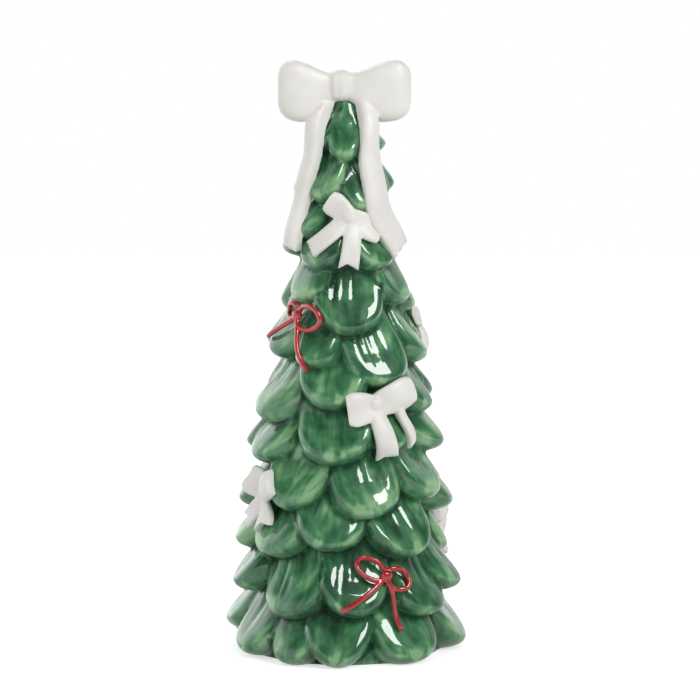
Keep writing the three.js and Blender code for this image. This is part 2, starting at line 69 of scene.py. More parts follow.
# One bough: a tongue that flares out to a rounded lip and tucks back under it.
BOUGH_LENGTHS = [[200, 40], [255, 31]]  # from its lowest line up to its root, by the height of that line
LIP_HEIGHT = 5.5  # of the lip's outermost line above the lowest line
BARE_TIP = 4  # of the trunk, above the highest root
BURIED = 2.5  # how far a bough reaches into the trunk
ROOT_NARROWING = 0.62  # width at the root, against the width at the lip
LIP_CORNER_RISE = 0.82  # how far a lip rises to its corners, against its half width
CORNER_RISE_SPREAD = 0.26  # by which that varies from bough to bough
TILT = 9  # degrees by which a bough leans to one side or the other, at most
RISE_STEP = 3.7  # radians of those two variations from one bough of the table to the next
TILT_STEP = 2.4
FULLNESS = 0.75  # how round a bough is across: the lower, the fuller
CREST_LEAN = 0.05  # how far a bough's pleats lean aside on their way down, in half widths
CHEEK_SWING = 0.5  # by which one cheek of a bough stands out further than the other
# Share of the way down a bough, share of the way out.
SLOPE = [[0, 0], [0.25, 0.13], [0.45, 0.3], [0.62, 0.52], [0.8, 0.79], [0.92, 0.945], [1, 1]]
# Below the lip's outermost line: how far in, how far down.
UNDERSIDE = [[0.4, 1.3], [1.4, 2.7], [3.2, 4.1], [6.5, 5.3], [10, 6.1], [14, 6.5]]
SLOPE_ROWS = 20
BOUGH_COLUMNS = 27
PLEATS = 5.5  # across a bough of the usual width
USUAL_HALF_WIDTH = 14
PLEAT_DEPTH = 2.2
PLEAT_SHARPNESS = 1.5
# Unevenness of the pleats' places and depths: how much, how often across a bough, and how it starts.
PLEAT_SHIFT = (0.12, 5, 9)
PLEAT_UNEVENNESS = (0.4, 4, 23)
PLEAT_FADE = [[0, 0], [0.15, 0.7], [0.35, 1], [0.5, 0.8], [0.7, 0.4], [0.88, 0]]  # depth by share of the way

# The boughs, from the table up: azimuth, lowest line, half width, and how far one stands back from its row.
# Azimuths are in degrees round the trunk: 0 is the front, 90 the viewer's right.
BOUGHS = [
    [-60, 1, 16], [-30, 0, 14], [-4, 0, 17], [36, 0, 18], [82, 1, 17],
    [115, 0, 17], [147, 0, 17], [180, 0, 17], [-147, 0, 17], [-116, 0, 16], [-90, 9, 13],
    [-32, 23, 18], [5, 25, 18], [48, 23, 16],
    [110, 26, 16], [147, 23, 17], [-176, 26, 17], [-140, 23, 16], [-106, 27, 14],
    [-70, 33, 14], [72, 33, 13],
    [-76, 54, 12], [-45, 53, 18], [-9, 58, 18], [35, 53, 18],
    [97, 48, 14, 7], [129, 53, 16], [164, 49, 17], [-160, 53, 17], [-124, 50, 16],
    [-86, 74, 14], [-35, 77, 17], [12, 74, 18], [57, 81, 15], [82, 73, 12],
    [115, 78, 16], [151, 76, 17], [-172, 79, 17], [-136, 76, 16],
    [-63, 99, 14], [-8, 101, 20], [33, 107, 13], [80, 104, 13],
    [106, 101, 13], [137, 103, 15], [171, 101, 16], [-155, 104, 16], [-121, 101, 15], [-92, 103, 12],
    [-62, 120, 15, -3], [-11, 128, 18], [42, 130, 12], [72, 124, 12],
    [103, 128, 14], [138, 127, 15], [174, 130, 16], [-150, 127, 15], [-117, 130, 13], [-88, 122, 12],
    [-26, 148, 12], [-62, 152, 13], [27, 139, 17], [80, 149, 13],
    [116, 152, 14], [153, 150, 14], [-170, 153, 14], [-133, 151, 14], [-102, 155, 11],
    [3, 165, 18], [-47, 180, 13], [62, 179, 13],
    [94, 174, 12], [132, 177, 13], [170, 174, 13], [-150, 177, 13], [-110, 174, 13], [-80, 173, 9, 6],
    [-77, 204, 9, -1.5], [-48, 213, 8], [-32, 197, 14], [36, 197, 13], [80, 207, 11],
    [115, 202, 11], [152, 205, 12], [-168, 202, 12], [-128, 205, 12], [-100, 203, 9],
    [-38, 231, 11], [24, 226, 10], [52, 233, 9], [87, 236, 9],
    [130, 233, 10], [174, 235, 10], [-140, 233, 10], [-90, 233, 9, -1.5],
    [-5, 252, 9], [-60, 257, 6], [55, 257, 6], [88, 256, 8],
    [138, 258, 8], [-170, 256, 8], [-110, 258, 8],
]

# How each kind of clay is fused: the size of its faces, and the rounds of smoothing.
CASTING_GRAIN = (0.85, 7)
CROWN_GRAIN = (0.8, 5)
WHITE_GRAIN = (0.5, 4)
RED_GRAIN = (0.3, 3)
SOFTENING = 0.5  # share of the way to its neighbours that a point moves in a round

# The crown bow: its knot, its loops as rings (distance from the knot's middle, top, bottom, half depth), and
# its tails (azimuth, height, half width, and how far they stand off the tree).
KNOT = (12.6, 15, 16.4)
KNOT_FOLD = 0.45
KNOT_FOLDS = 9
KNOT_SQUARENESS = 0.78
CROWN_PLACE = (-2.8, -3, 291)
LOOP_LENGTHS = (0.94, 1.06)  # of the left loop and the right one, against the table's
CROWN_LOOP = [
    [1, 5.6, -6.4, 4], [3, 6.2, -7.6, 4.5], [8, 6.9, -10.6, 5.6], [13, 8.8, -15.2, 7],
    [18, 11, -18.4, 8.2], [24, 12.8, -18.4, 8.8], [29, 12.6, -17, 8.2], [32.4, 9.8, -14, 6.2],
    [33.8, 6.4, -10, 4], [34, 3, -6, 2.4],
]
LOOP_ROUNDNESS = 0.72
LOOP_SIDES = 40
LOOP_STEPS = 4
LEFT_TAIL = [
    [-61, 282, 3.4, 0.6], [-59, 276, 4.6, 3.4], [-57, 266, 5.3, 1], [-57, 254, 5.4, 0], [-58, 242, 5.4, 0],
    [-59, 228, 5, 0], [-58, 209, 4.4, 0],
]
RIGHT_TAIL = [
    [54, 282, 3.4, 0.6], [46, 276, 4.4, 2.6], [39, 266, 5, 0.4], [35, 253, 6.2, 0], [36, 240, 7, 0],
    [41, 226, 8, 0], [59, 209, 8, 0],
]
TAIL_CLAY = 3
TAIL_STEPS = 6
FORK = 6.5  # depth of the notch at a tail's end

# The small bows: a loop is a direction in degrees, a length and a half width; a tail is the same, after the
# place where it comes out from under the knot. Directions turn anticlockwise from the viewer's right.
WHITE_BOWS = {
    "front_bow": (4, 226, [[146, 13, 6.6], [-34, 17, 6.6]], [[-2, -2, 226, 20, 5], [2, -2, 264, 24, 4.8]]),
    "right_bow": (20, 131, [[188, 14, 8.8], [20, 21, 8.4]], [[0, -3, 281, 23, 5.4], [12, -2, 288, 19, 3.3]]),
    "left_bow": (-59, 84, [[144, 14, 7.8], [34, 14, 7.8]], [[-1, -3, 240, 12, 5.6], [3, -3, 290, 13, 5.6]]),
    "far_right_bow": (116, 68, [[176, 12, 6.4], [10, 12, 6.4]], [[-2, -3, 250, 19, 4], [3, -3, 286, 19, 4]]),
    "upper_right_bow": (117, 171, [[172, 11, 6], [2, 11, 6]], [[-2, -3, 244, 17, 3.6], [2, -3, 280, 17, 3.6]]),
}
BOW_CLAY = 3.6
BOW_FORK = 4.5
BOW_KNOT = (8, 7, 9)
BOW_KNOT_SQUARENESS = 0.9
# Share of the way along a loop or a tail, width against its table's.
LOOP_STATIONS = [[0.0, 0.62], [0.12, 0.72], [0.4, 0.9], [0.75, 1], [1, 0.86]]
TAIL_STATIONS = [[0, 0.8], [0.35, 0.95], [0.7, 1], [1, 1.05]]
STATION_STEPS = 5
FORK_TURN = 0.6  # share of a fork by which its middle draws back; its corners reach out by the rest
STRAP_COLUMNS = 15
STRAP_EDGE = 3.4  # the higher, the flatter a strap's top and the tighter its rounded edges

# The red bows, of rolled clay: a loop is a direction, a length and a half width, and a tail a direction and a
# length.
RED_BOWS = {
    "left_red_bow": (-46, 175, [[150, 9, 4], [-6, 15, 6]], [[218, 17], [292, 26]]),
    "right_red_bow": (22, 46, [[154, 16, 4.6], [-18, 13, 5.2]], [[216, 25], [284, 26]]),
}
COIL_RADIUS = 1.35
COIL_SEAT = 0.6  # height of a coil's middle over the tree, in its radii
COIL_STEPS = 44
COIL_SIDES = 12
COIL_TURN = 0.92  # of a full loop, which stays open under the knot
COIL_TAIL = (0.1, 1.1)  # where a coiled tail starts and ends, in its length
RED_KNOT = (6.4, 4.6, 5.4)
LUMP_STEPS = 14
LUMP_SIDES = 48

# The map that ribbons are laid on: how far out the casting stands, by azimuth and height. Its narrow dips are
# bridged over a reach, and the clay reaches down into them.
MAP_TURN = math.radians(1.5)
MAP_RISE = 1.0
MAP_COLUMNS = round(2 * math.pi / MAP_TURN)
MAP_ROWS = math.ceil(CASTING_HEIGHT / MAP_RISE) + 1
WIDEST_FILTER = 16  # columns that a filter takes in to each side, at most
BOW_REACH = 3.0
BOW_LAID_IN = 1.2
TAIL_REACH = 6.0
TAIL_LAID_IN = 4

# The glaze: where it thins, and where it darkens in creases, partly as glaze that pools and partly as painted
# shade. Points of the skin are matched with points of the boughs.
SKIN_SAMPLES = (24, 13)
SKIN_DOWN = (0.1, 1.25)
SKIN_ACROSS = (-0.96, 0.96)
UNDERSIDE_FALL = 4  # lip heights that a sample below the lip falls, for each length of the bough
UNDERSIDE_CURVE = 0.12
SETTLING_ROUNDS = 10
LIP_BAND = 3.5  # half the height of the band of thin glaze along a lip
BRUSH_SPACING = 7.3  # between the places of two boughs in the brush marks' noise
DOWN_GUESS = 0.8  # share of the way down a bough, and the share at which it stops under the lip
DOWN_LIMIT = 1.4
DOWN_ROUNDS = 4
# Rounds of smoothing and the depth of a full crease, for the darkening in creases: partly pooled glaze, partly
# painted shade.
CREASE_ROUNDS = 14
CREASE_DEPTH_SCALE = 1.2
BARE_DEPTH = 0.5  # how far outside the wall's inner face a point still counts as bare clay
BARE_FOOT = 0.3  # height of the dry edge round the foot
SHARP_ANGLE = math.radians(50)
BLACK = (0, 0, 0)
WHITE = (1, 1, 1)

# The studio. Mirrors see a wall of light behind the tree, one to its left, and the floor's glow.
PLAIN_LIGHT = 0.33
DARK_STUDIO = 0.05
# Brightness, and where the light fades in along an axis of the direction that a mirror looks in.
LEFT_PANEL = 1.15
LEFT_PANEL_EDGE = (-0.42, -0.34)
BACK_WALL = 0.85
BACK_WALL_EDGE = (-0.1, 0.5)
WALL_TOPS = (0.58, 0.74)
NEAR_GLOW = (0.62, 0.3)  # of the floor beside the tree, as the camera and as mirrors see it
GLOW_REACH = (0.1, 0.8)  # metres from the tree within which the floor brightens to white
FLOOR_REACH = 3000
LAMP_AIM = (0, 0, 0.15)

# The photo's camera: sensor and lens in millimetres, elevation in degrees, distance and aim in metres.
CAMERA_SENSOR = 36
CAMERA_LENS = 139.3
CAMERA_ELEVATION = 6
CAMERA_DISTANCE = 1.4
CAMERA_AIM = (0.00207, 0, 0.1549)


def along(profile, position):
    """The value of a [position, value] profile at one or more positions."""
    table = np.array(profile, float)
    return np.interp(position, table[:, 0], table[:, 1])


def around(radius, azimuth, height):
    """Points at a radius, an azimuth in radians and a height."""
    return np.stack(np.broadcast_arrays(radius * np.sin(azimuth), -radius * np.cos(azimuth), height), axis=-1)


def azimuth_of(points):
    return np.arctan2(points[..., 0], -points[..., 1])


def cos_sin(degrees):
    return math.cos(math.radians(degrees)), math.sin(math.radians(degrees))


def ring_angles(sides):
    return np.arange(sides) * 2 * math.pi / sides


def turned(points, degrees):
    """The points turned round the trunk."""
    c, s = cos_sin(degrees)
    x, y, z = points[..., 0], points[..., 1], points[..., 2]
    return np.stack([x * c - y * s, x * s + y * c, z], axis=-1)


def grid_faces(rows, columns, closed=False):
    """Quads over a grid of points; a closed one joins its last column to its first."""
    i, j = np.meshgrid(np.arange(rows - 1), np.arange(columns if closed else columns - 1), indexing="ij")
    a, b = i * columns + j, i * columns + (j + 1) % columns
    return np.stack([a, b, b + columns, a + columns], axis=-1).reshape(-1, 4).tolist()


class Shell:
    """Points and faces that are gathered into one mesh."""

    def __init__(self):
        self.points, self.faces, self.count = [], [], 0

    def add(self, points, faces):
        points = np.asarray(points, float).reshape(-1, 3)
        self.points.append(points)
        self.faces += [[index + self.count for index in face] for face in faces]
        self.count += len(points)

    def to_object(self, name):
        mesh = bpy.data.meshes.new(name)
        mesh.from_pydata((np.concatenate(self.points) * MM).tolist(), [], self.faces)
        mesh.update()
        obj = bpy.data.objects.new(name, mesh)
        bpy.context.scene.collection.objects.link(obj)
        return obj


def loft(shell, rings):
    """A closed tube over rings of points, with its ends capped and its faces pointing out."""
    rings = np.asarray(rings, float)
    rows, columns = rings.shape[:2]
    faces = grid_faces(rows, columns, closed=True)
    faces.append(list(range(columns))[::-1])
    faces.append([(rows - 1) * columns + j for j in range(columns)])
    centre = rings[0].mean(0)
    spokes = rings[0] - centre
    ring_area = np.cross(spokes, np.roll(spokes, -1, axis=0)).sum(0)
    if np.dot(ring_area, rings[min(1, rows - 1)].mean(0) - centre) < 0:
        faces = [face[::-1] for face in faces]
    shell.add(rings, faces)


def turned_shell(shell, profile):
    """A solid of revolution over a profile of radius and height, from bottom to top, that starts and ends on
    the axis."""
    profile = np.array(profile, float)
    sides = TURNED_SIDES
    rings = np.stack([around(r, ring_angles(sides), np.full(sides, z)) for r, z in profile[1:-1]])
    faces = grid_faces(len(rings), sides, closed=True)
    low, high = len(rings) * sides, len(rings) * sides + 1
    last = (len(rings) - 1) * sides
    faces += [[low, (j + 1) % sides, j] for j in range(sides)]
    faces += [[high, last + j, last + (j + 1) % sides] for j in range(sides)]
    points = np.concatenate([rings.reshape(-1, 3), [[0, 0, profile[0][1]], [0, 0, profile[-1][1]]]])
    shell.add(points, faces)


def bough_frame(index):
    """The measures of a bough that its points and its glaze both follow."""
    azimuth, low, half, set_back = (BOUGHS[index] + [0])[:4]
    top = min(low + along(BOUGH_LENGTHS, low), CASTING_HEIGHT - BARE_TIP)
    return {
        "azimuth": azimuth, "low": low, "half": half, "top": top, "lip": low + LIP_HEIGHT,
        "root": along(TRUNK, top), "reach": along(REACH, low) - set_back, "middle": (top + low) / 2,
        "rise": half * (LIP_CORNER_RISE + CORNER_RISE_SPREAD * math.sin(RISE_STEP * index)),
        "tilt": math.radians(TILT * math.sin(TILT_STEP * index)),
    }


def tilted(x, height, bough, turn=1):
    """Places on a bough, leant to its side, or brought back upright by a turn of -1."""
    c, s = np.cos(turn * bough["tilt"]), np.sin(turn * bough["tilt"])
    up = height - bough["middle"]
    return x * c - up * s, bough["middle"] + x * s + up * c


def half_width_at(bough, down):
    return bough["half"] * (ROOT_NARROWING + (1 - ROOT_NARROWING) * np.sin(down * math.pi / 2))


def bulge_at(u):
    """How full a bough is at a share of its half width, from 1 in its middle to 0 at its edge."""
    return np.sqrt(np.maximum(1 - u * u, 0))


def uneven_wave(u, phase, spec):
    """A wave across a bough: how much, how often, and how it starts."""
    amount, often, start = spec
    return amount * np.sin(often * u + start * phase)


def pleats(bough, u, down, phase):
    """How far the pressed pleats near a bough's root cut in."""
    count = PLEATS * bough["half"] / USUAL_HALF_WIDTH
    place = u + uneven_wave(u, phase, PLEAT_SHIFT)
    crest = np.abs(np.cos(math.pi * (count * (place + 1) / 2 + phase)))
    depth = PLEAT_DEPTH * (1 - PLEAT_UNEVENNESS[0] + uneven_wave(u, phase, PLEAT_UNEVENNESS))
    return depth * along(PLEAT_FADE, down) * (1 - crest) ** PLEAT_SHARPNESS


def bough_middle_line(bough):
    """A bough's middle line, down its slope and back under its lip: share of the way down, radius, height."""
    down = np.linspace(0, 1, SLOPE_ROWS)
    slope = bough["root"] + along(SLOPE, down) * (bough["reach"] - bough["root"])
    fall = bough["top"] - down * (bough["top"] - bough["lip"])
    under = np.array(UNDERSIDE)
    downs = np.concatenate([down, np.ones(len(under))])
    radii = np.concatenate([slope, bough["reach"] - under[:, 0]])
    heights = np.concatenate([fall, bough["lip"] - under[:, 1]])
    return downs[:, None], radii[:, None], heights[:, None]


def bough_grid(bough):
    """The points of a bough's skin, as if it stood at the front."""
    phase, lean, swing = rng.random(), rng.normal(0, CREST_LEAN), rng.normal(0, CHEEK_SWING)
    downs, radii, heights = bough_middle_line(bough)
    u = np.sin(np.linspace(-math.pi / 2, math.pi / 2, BOUGH_COLUMNS))[None, :]
    bulge = bulge_at(u)
    height = heights + (1 - bulge) * bough["rise"] * downs
    inside = along(TRUNK, height) - BURIED
    cut_in = pleats(bough, u + lean * downs, downs, phase) + swing * np.sin(math.pi * u) * downs
    radius = inside + (radii - inside) * bulge ** FULLNESS - cut_in * bulge
    x, height = tilted(u * half_width_at(bough, downs), height, bough)
    return np.stack([x, -radius, height], axis=-1)


def rim_of(rows, columns):
    """The points round the edge of a grid, in order."""
    rim = list(range(columns - 1)) + [i * columns + columns - 1 for i in range(rows - 1)]
    rim += [(rows - 1) * columns + j for j in range(columns - 1, 0, -1)]
    return rim + [i * columns for i in range(rows - 1, 0, -1)]


def add_bough(shell, index):
    """A bough as a closed shell: its skin, and a fan from its edge to a hub inside the trunk."""
    bough = bough_frame(index)
    grid = bough_grid(bough)
    rows, columns = grid.shape[:2]
    hub = np.array([[0, -(along(TRUNK, bough["middle"]) - 2 * BURIED), bough["middle"]]])
    faces = [face[::-1] for face in grid_faces(rows, columns)]
    rim = rim_of(rows, columns)
    faces += [[a, b, rows * columns] for a, b in zip(rim, rim[1:] + rim[:1])]
    shell.add(turned(np.concatenate([grid.reshape(-1, 3), hub]), bough["azimuth"]), faces)


def finished(obj):
    """The object with its modifiers applied."""
    evaluated = obj.evaluated_get(bpy.context.evaluated_depsgraph_get())
    mesh = bpy.data.meshes.new_from_object(evaluated)
    old = obj.data
    obj.modifiers.clear()
    obj.data = mesh
    mesh.name = obj.name
    bpy.data.meshes.remove(old)
    return obj


def fuse(obj, grain):
    """Fuses an object's overlapping shells into one skin of small faces, and softens it."""
    face_size, smoothing = grain
    remesh = obj.modifiers.new("fuse", "REMESH")
    remesh.mode = "VOXEL"
    remesh.voxel_size = face_size * MM
    remesh.use_smooth_shade = True
    soften = obj.modifiers.new("soften", "SMOOTH")
    soften.factor = SOFTENING
    soften.iterations = smoothing
    return finished(obj)


def cut(obj, *tools):
    """Cuts the tools out of an object and removes them."""
    for tool in tools:
        step = obj.modifiers.new("cut", "BOOLEAN")
        step.operation = "DIFFERENCE"
        step.solver = "MANIFOLD"
        step.object = tool
    finished(obj)
    for tool in tools:
        bpy.data.objects.remove(tool)


def turned_object(name, profile):
    shell = Shell()
    turned_shell(shell, profile)
    return shell.to_object(name)


def disc(name, radius, low, high):
    return turned_object(name, [[0, low], [radius, low], [radius, high], [0, high]])


def casting():
    """The casting: the trunk and its boughs in one skin, hollow, with a vent in its floor."""
    shell = Shell()
    flank = [[r, z] for z, r in TRUNK]
    below = -UNDERSIDE[-1][1] + LIP_HEIGHT
    turned_shell(shell, [[0, below], [flank[0][0], below], *flank, [0, CASTING_HEIGHT]])
    for index in range(len(BOUGHS)):
        add_bough(shell, index)
    body = fuse(shell.to_object("glazed_casting"), CASTING_GRAIN)
    roof = CASTING_HEIGHT - CROWN_WALL
    bends = [z for z, _ in TRUNK if FLOOR < z < roof]
    inner = [[along(TRUNK, z) - WALL, z] for z in [FLOOR, *bends, roof]]
    cut(
        body,
        turned_object("hollow", [[0, FLOOR], *inner, [0, roof]]),
        disc("under_table", FOOT_WIDTH, -2 * LIP_HEIGHT, 0),
        disc("recess", FOOT_RING_RADIUS, -FLOOR, FOOT_RING_HEIGHT),
        disc("vent", VENT_RADIUS, -FLOOR, 2 * FLOOR),
    )
    return body


def vertices_of(obj):
    """An object's points, in millimetres."""
    flat = np.empty(len(obj.data.vertices) * 3)
    obj.data.vertices.foreach_get("co", flat)
    return flat.reshape(-1, 3) / MM


def surface_map(points):
    """How far out the casting stands, by height and azimuth."""
    columns = np.round(azimuth_of(points) / MAP_TURN).astype(int) % MAP_COLUMNS
    rows = np.clip(np.round(points[:, 2] / MAP_RISE).astype(int), 0, MAP_ROWS - 1)
    surface = np.zeros((MAP_ROWS, MAP_COLUMNS))
    np.maximum.at(surface, (rows, columns), np.hypot(points[:, 0], points[:, 1]))
    return surface


def filtered(surface, distance, combine):
    """Each cell of a map as a function of its neighbours within a distance."""
    rise = round(distance / MAP_RISE)
    girth = surface.mean(1)
    result = np.empty_like(surface)
    for row in range(MAP_ROWS):
        turn = min(round(distance / (max(girth[row], 1) * MAP_TURN)), WIDEST_FILTER)
        band = surface[np.clip(np.arange(row - rise, row + rise + 1), 0, MAP_ROWS - 1)]
        shifted = [np.roll(band, shift, axis=1) for shift in range(-turn, turn + 1)]
        result[row] = combine(np.concatenate(shifted), axis=0)
    return result


class Drape:
    """The surface that ribbons lie on."""

    def __init__(self, points, reach, laid_in):
        bridged = filtered(surface_map(points), reach, np.max)
        self.map = filtered(filtered(bridged, reach, np.mean), reach, np.mean)
        self.laid_in = laid_in

    def radius(self, azimuth, height):
        """The surface's radius between the map's cells."""
        column, row = np.asarray(azimuth) / MAP_TURN, np.asarray(height) / MAP_RISE
        i, j = np.floor(column).astype(int), np.floor(row).astype(int)
        u, v = column - i, row - j

        def at(k, m):
            return self.map[np.clip(m, 0, MAP_ROWS - 1), k % MAP_COLUMNS]

        lower = at(i, j) * (1 - u) + at(i + 1, j) * u
        upper = at(i, j + 1) * (1 - u) + at(i + 1, j + 1) * u
        return lower * (1 - v) + upper * v

    def lay(self, points, lift):
        """The points moved in or out on to the surface, and a lift beyond it."""
        azimuth = azimuth_of(points)
        return around(self.radius(azimuth, points[..., 2]) + lift, azimuth, points[..., 2])


def smooth_path(rows, steps):
    """A curve through the rows of a table, with some steps between each two."""
    rows = np.array(rows, float)
    padded = np.concatenate([[2 * rows[0] - rows[1]], rows, [2 * rows[-1] - rows[-2]]])
    result = []
    for a, b, c, d in zip(padded, padded[1:], padded[2:], padded[3:]):
        for t in np.arange(steps) / steps:
            result.append(0.5 * (2 * b + (c - a) * t + (2 * a - 5 * b + 4 * c - d) * t ** 2
                                 + (3 * b - a - 3 * c + d) * t ** 3))
    return np.array([*result, rows[-1]])


def normalised(vectors):
    return vectors / np.maximum(np.linalg.norm(vectors, axis=-1, keepdims=True), 1e-9)


def directions(path):
    """For each point of a path on the tree: forward along it, across it, and out of the tree."""
    forward = normalised(np.gradient(path, axis=0))
    facing = normalised(path * [1, 1, 0])
    across = normalised(np.cross(forward, facing))
    return forward, across, normalised(np.cross(across, forward))


def add_strap(shell, drape, path, halves, clay, fork, lifts=0):
    """A strap of clay laid along a path on the tree; its top can stand off the tree by a lift."""
    lifts = np.broadcast_to(lifts, len(path))
    path = drape.lay(path, lifts)
    forward, across, _ = directions(path)
    u = np.sin(np.linspace(-math.pi / 2, math.pi / 2, STRAP_COLUMNS))
    rise = (1 - np.abs(u) ** STRAP_EDGE) ** 0.5
    rings = []
    for i, (point, half) in enumerate(zip(path, halves)):
        last = i == len(path) - 1
        shift = (fork if last else 0) * (np.abs(u) - FORK_TURN)
        corners = point + np.outer(u * half, across[i]) + np.outer(shift, forward[i])
        top = drape.lay(corners, lifts[i] + clay * rise)
        base = drape.lay(corners[::-1][1:-1], -drape.laid_in)
        rings.append(np.concatenate([top, base]))
    loft(shell, rings)


def add_coil(shell, drape, path):
    """A coil of rolled clay laid along a path on the tree."""
    path = drape.lay(path, COIL_RADIUS * COIL_SEAT)
    _, across, raised = directions(path)
    angles = ring_angles(COIL_SIDES)
    rings = [
        point + COIL_RADIUS * (np.outer(np.cos(angles), a) + np.outer(np.sin(angles), r))
        for point, a, r in zip(path, across, raised)
    ]
    loft(shell, rings)


def rounded(value, squareness):
    """A sine or cosine bent towards a square, where the squareness is under 1."""
    return np.sign(value) * np.abs(value) ** squareness


def add_lump(shell, size, centre, azimuth, squareness=1.0, fold=0.0):
    """A rounded lump: width, depth and height, turned to face an azimuth. A fold creases it up and down."""
    half_width, half_depth, half_height = (measure / 2 for measure in size)
    lift = np.linspace(-math.pi / 2, math.pi / 2, LUMP_STEPS + 2)[1:-1]
    angles = ring_angles(LUMP_SIDES)
    folded = half_depth + fold * np.cos(KNOT_FOLDS * angles)
    rings = [
        np.stack([
            half_width * rounded(np.cos(t) * np.cos(angles), squareness),
            folded * rounded(np.cos(t) * np.sin(angles), squareness),
            np.full(LUMP_SIDES, half_height * rounded(np.sin(t), squareness)),
        ], axis=-1)
        for t in lift
    ]
    loft(shell, [turned(ring, math.degrees(azimuth)) + centre for ring in rings])


def nodes_of(prefix):
    """The frame's nodes of one bow."""
    return [name for name in frame["nodes"] if name.startswith(prefix)]


def add_crown_loop(shell, centre, reach):
    """A puffed loop of the crown bow, from the knot's middle out to one side."""
    angles = ring_angles(LOOP_SIDES)
    out_of_tree, up = rounded(np.cos(angles), LOOP_ROUNDNESS), rounded(np.sin(angles), LOOP_ROUNDNESS)
    rings = []
    for out, top, bottom, depth in smooth_path(CROWN_LOOP, LOOP_STEPS):
        middle, half = (top + bottom) / 2, (top - bottom) / 2
        ring = [np.full(LOOP_SIDES, reach * out), depth * out_of_tree, middle + half * up]
        rings.append(np.stack(ring, axis=-1) + centre)
    loft(shell, rings)


def crown_bow(drape):
    """The bow on the tip: its knot, two puffed loops and two long tails."""
    shell = Shell()
    centre = np.array(CROWN_PLACE)
    add_lump(shell, KNOT, centre, 0, KNOT_SQUARENESS, KNOT_FOLD)
    for side, length in zip((-1, 1), LOOP_LENGTHS):
        add_crown_loop(shell, centre, side * length)
    for tail in (LEFT_TAIL, RIGHT_TAIL):
        azimuths, heights, halves, lifts = smooth_path(tail, TAIL_STEPS).T
        path = around(1, np.radians(azimuths), heights)
        add_strap(shell, drape, path, halves, TAIL_CLAY, FORK, np.maximum(lifts, 0))
    return fuse(shell.to_object("crown_bow_clay"), CROWN_GRAIN)


def wrapped(drape, azimuth, height):
    """A small bow's flat pattern, wrapped on the tree: across to the viewer's right and up, from its knot."""
    azimuth = math.radians(azimuth)
    girth = drape.radius(azimuth, height)
    return lambda across, up: around(1, azimuth + np.asarray(across) / girth, height + np.asarray(up))


def white_bow(drape, name, azimuth, height, loops, tails):
    """A small bow of straps."""
    shell = Shell()
    place = wrapped(drape, azimuth, height)
    knot_centre = drape.lay(place(0, 0), BOW_CLAY / 2)
    add_lump(shell, BOW_KNOT, knot_centre, math.radians(azimuth), BOW_KNOT_SQUARENESS)
    straps = [([0, 0, *loop], LOOP_STATIONS, 0) for loop in loops]
    straps += [(tail, TAIL_STATIONS, BOW_FORK) for tail in tails]
    for (across, up, direction, length, half), stations, fork in straps:
        share, width = smooth_path(stations, STATION_STEPS).T
        c, s = cos_sin(direction)
        path = place(across + c * length * share, up + s * length * share)
        add_strap(shell, drape, path, half * width, BOW_CLAY, fork)
    return fuse(shell.to_object(name + "_clay"), WHITE_GRAIN)


def red_bow(drape, name, azimuth, height, loops, tails):
    """A small bow of coils."""
    shell = Shell()
    place = wrapped(drape, azimuth, height)
    add_lump(shell, RED_KNOT, drape.lay(place(0, 0), COIL_RADIUS), math.radians(azimuth))
    for direction, length, half in loops:
        c, s = cos_sin(direction)
        angle = math.pi * COIL_TURN * np.linspace(-1, 1, COIL_STEPS)
        out, side = (length / 2) * (1 + np.cos(angle)), half * np.sin(angle)
        add_coil(shell, drape, place(c * out - s * side, s * out + c * side))
    for direction, length in tails:
        c, s = cos_sin(direction)
        out = np.linspace(*COIL_TAIL, COIL_STEPS // 2) * length
        add_coil(shell, drape, place(c * out, s * out))
    return fuse(shell.to_object(name + "_clay"), RED_GRAIN)


class Shader:
    """A material's node tree, filled by short calls."""

    def __init__(self, name):
        self.material = bpy.data.materials.new(name)
        self.material.use_nodes = True
        self.tree = self.material.node_tree
        self.surface = self.tree.nodes["Principled BSDF"]

    def add(self, kind, inputs, **settings):
        node = self.tree.nodes.new("ShaderNode" + kind)
        for key, value in settings.items():
            setattr(node, key, value)
        self.fill(node, inputs)
        return node

    def fill(self, node, inputs):
        for key, value in inputs.items():
            if isinstance(value, bpy.types.NodeSocket):
                self.tree.links.new(value, node.inputs[key])
            else:
                node.inputs[key].default_value = value

    def attribute(self, name, output="Fac"):
        return self.add("Attribute", {}, attribute_name=name).outputs[output]

    def place(self):
        return self.add("TexCoord", {}).outputs["Object"]

    def noise(self, vector, scale, detail=3, roughness=0.5):
        inputs = {"Vector": vector, "Scale": scale, "Detail": detail, "Roughness": roughness}
        return self.add("TexNoise", inputs).outputs["Fac"]

    def stretched(self, vector, scale):
        return self.add("Mapping", {"Vector": vector, "Scale": scale}).outputs["Vector"]

    def math(self, operation, a, b=0.0):
        return self.add("Math", {0: a, 1: b}, operation=operation).outputs[0]

    def ramp(self, value, stops):
        node = self.add("ValToRGB", {"Fac": value})
        ramp = node.color_ramp
        while len(ramp.elements) < len(stops):
            ramp.elements.new(0.5)
        for element, (position, colour) in zip(ramp.elements, stops):
            element.position = position
            element.color = (*colour, 1)
        return node.outputs["Color"]

    def weighted(self, *parts):
        """The sum of some values, each times its weight."""
        total = 0.0
        for value, weight in parts:
            total = self.math("ADD", self.math("MULTIPLY", value, weight), total)
        return total

    def bump(self, height, strength, distance):
        inputs = {"Height": height, "Strength": strength, "Distance": distance}
        return self.add("Bump", inputs).outputs["Normal"]


def linear(*colour):
    """A colour given in the 0 to 255 steps of a picture, as linear light, by the sRGB standard's formula."""
    shares = [step / 255 for step in colour]
    return tuple(share / 12.92 if share <= 0.04 else ((share + 0.055) / 1.055) ** 2.4 for share in shares)


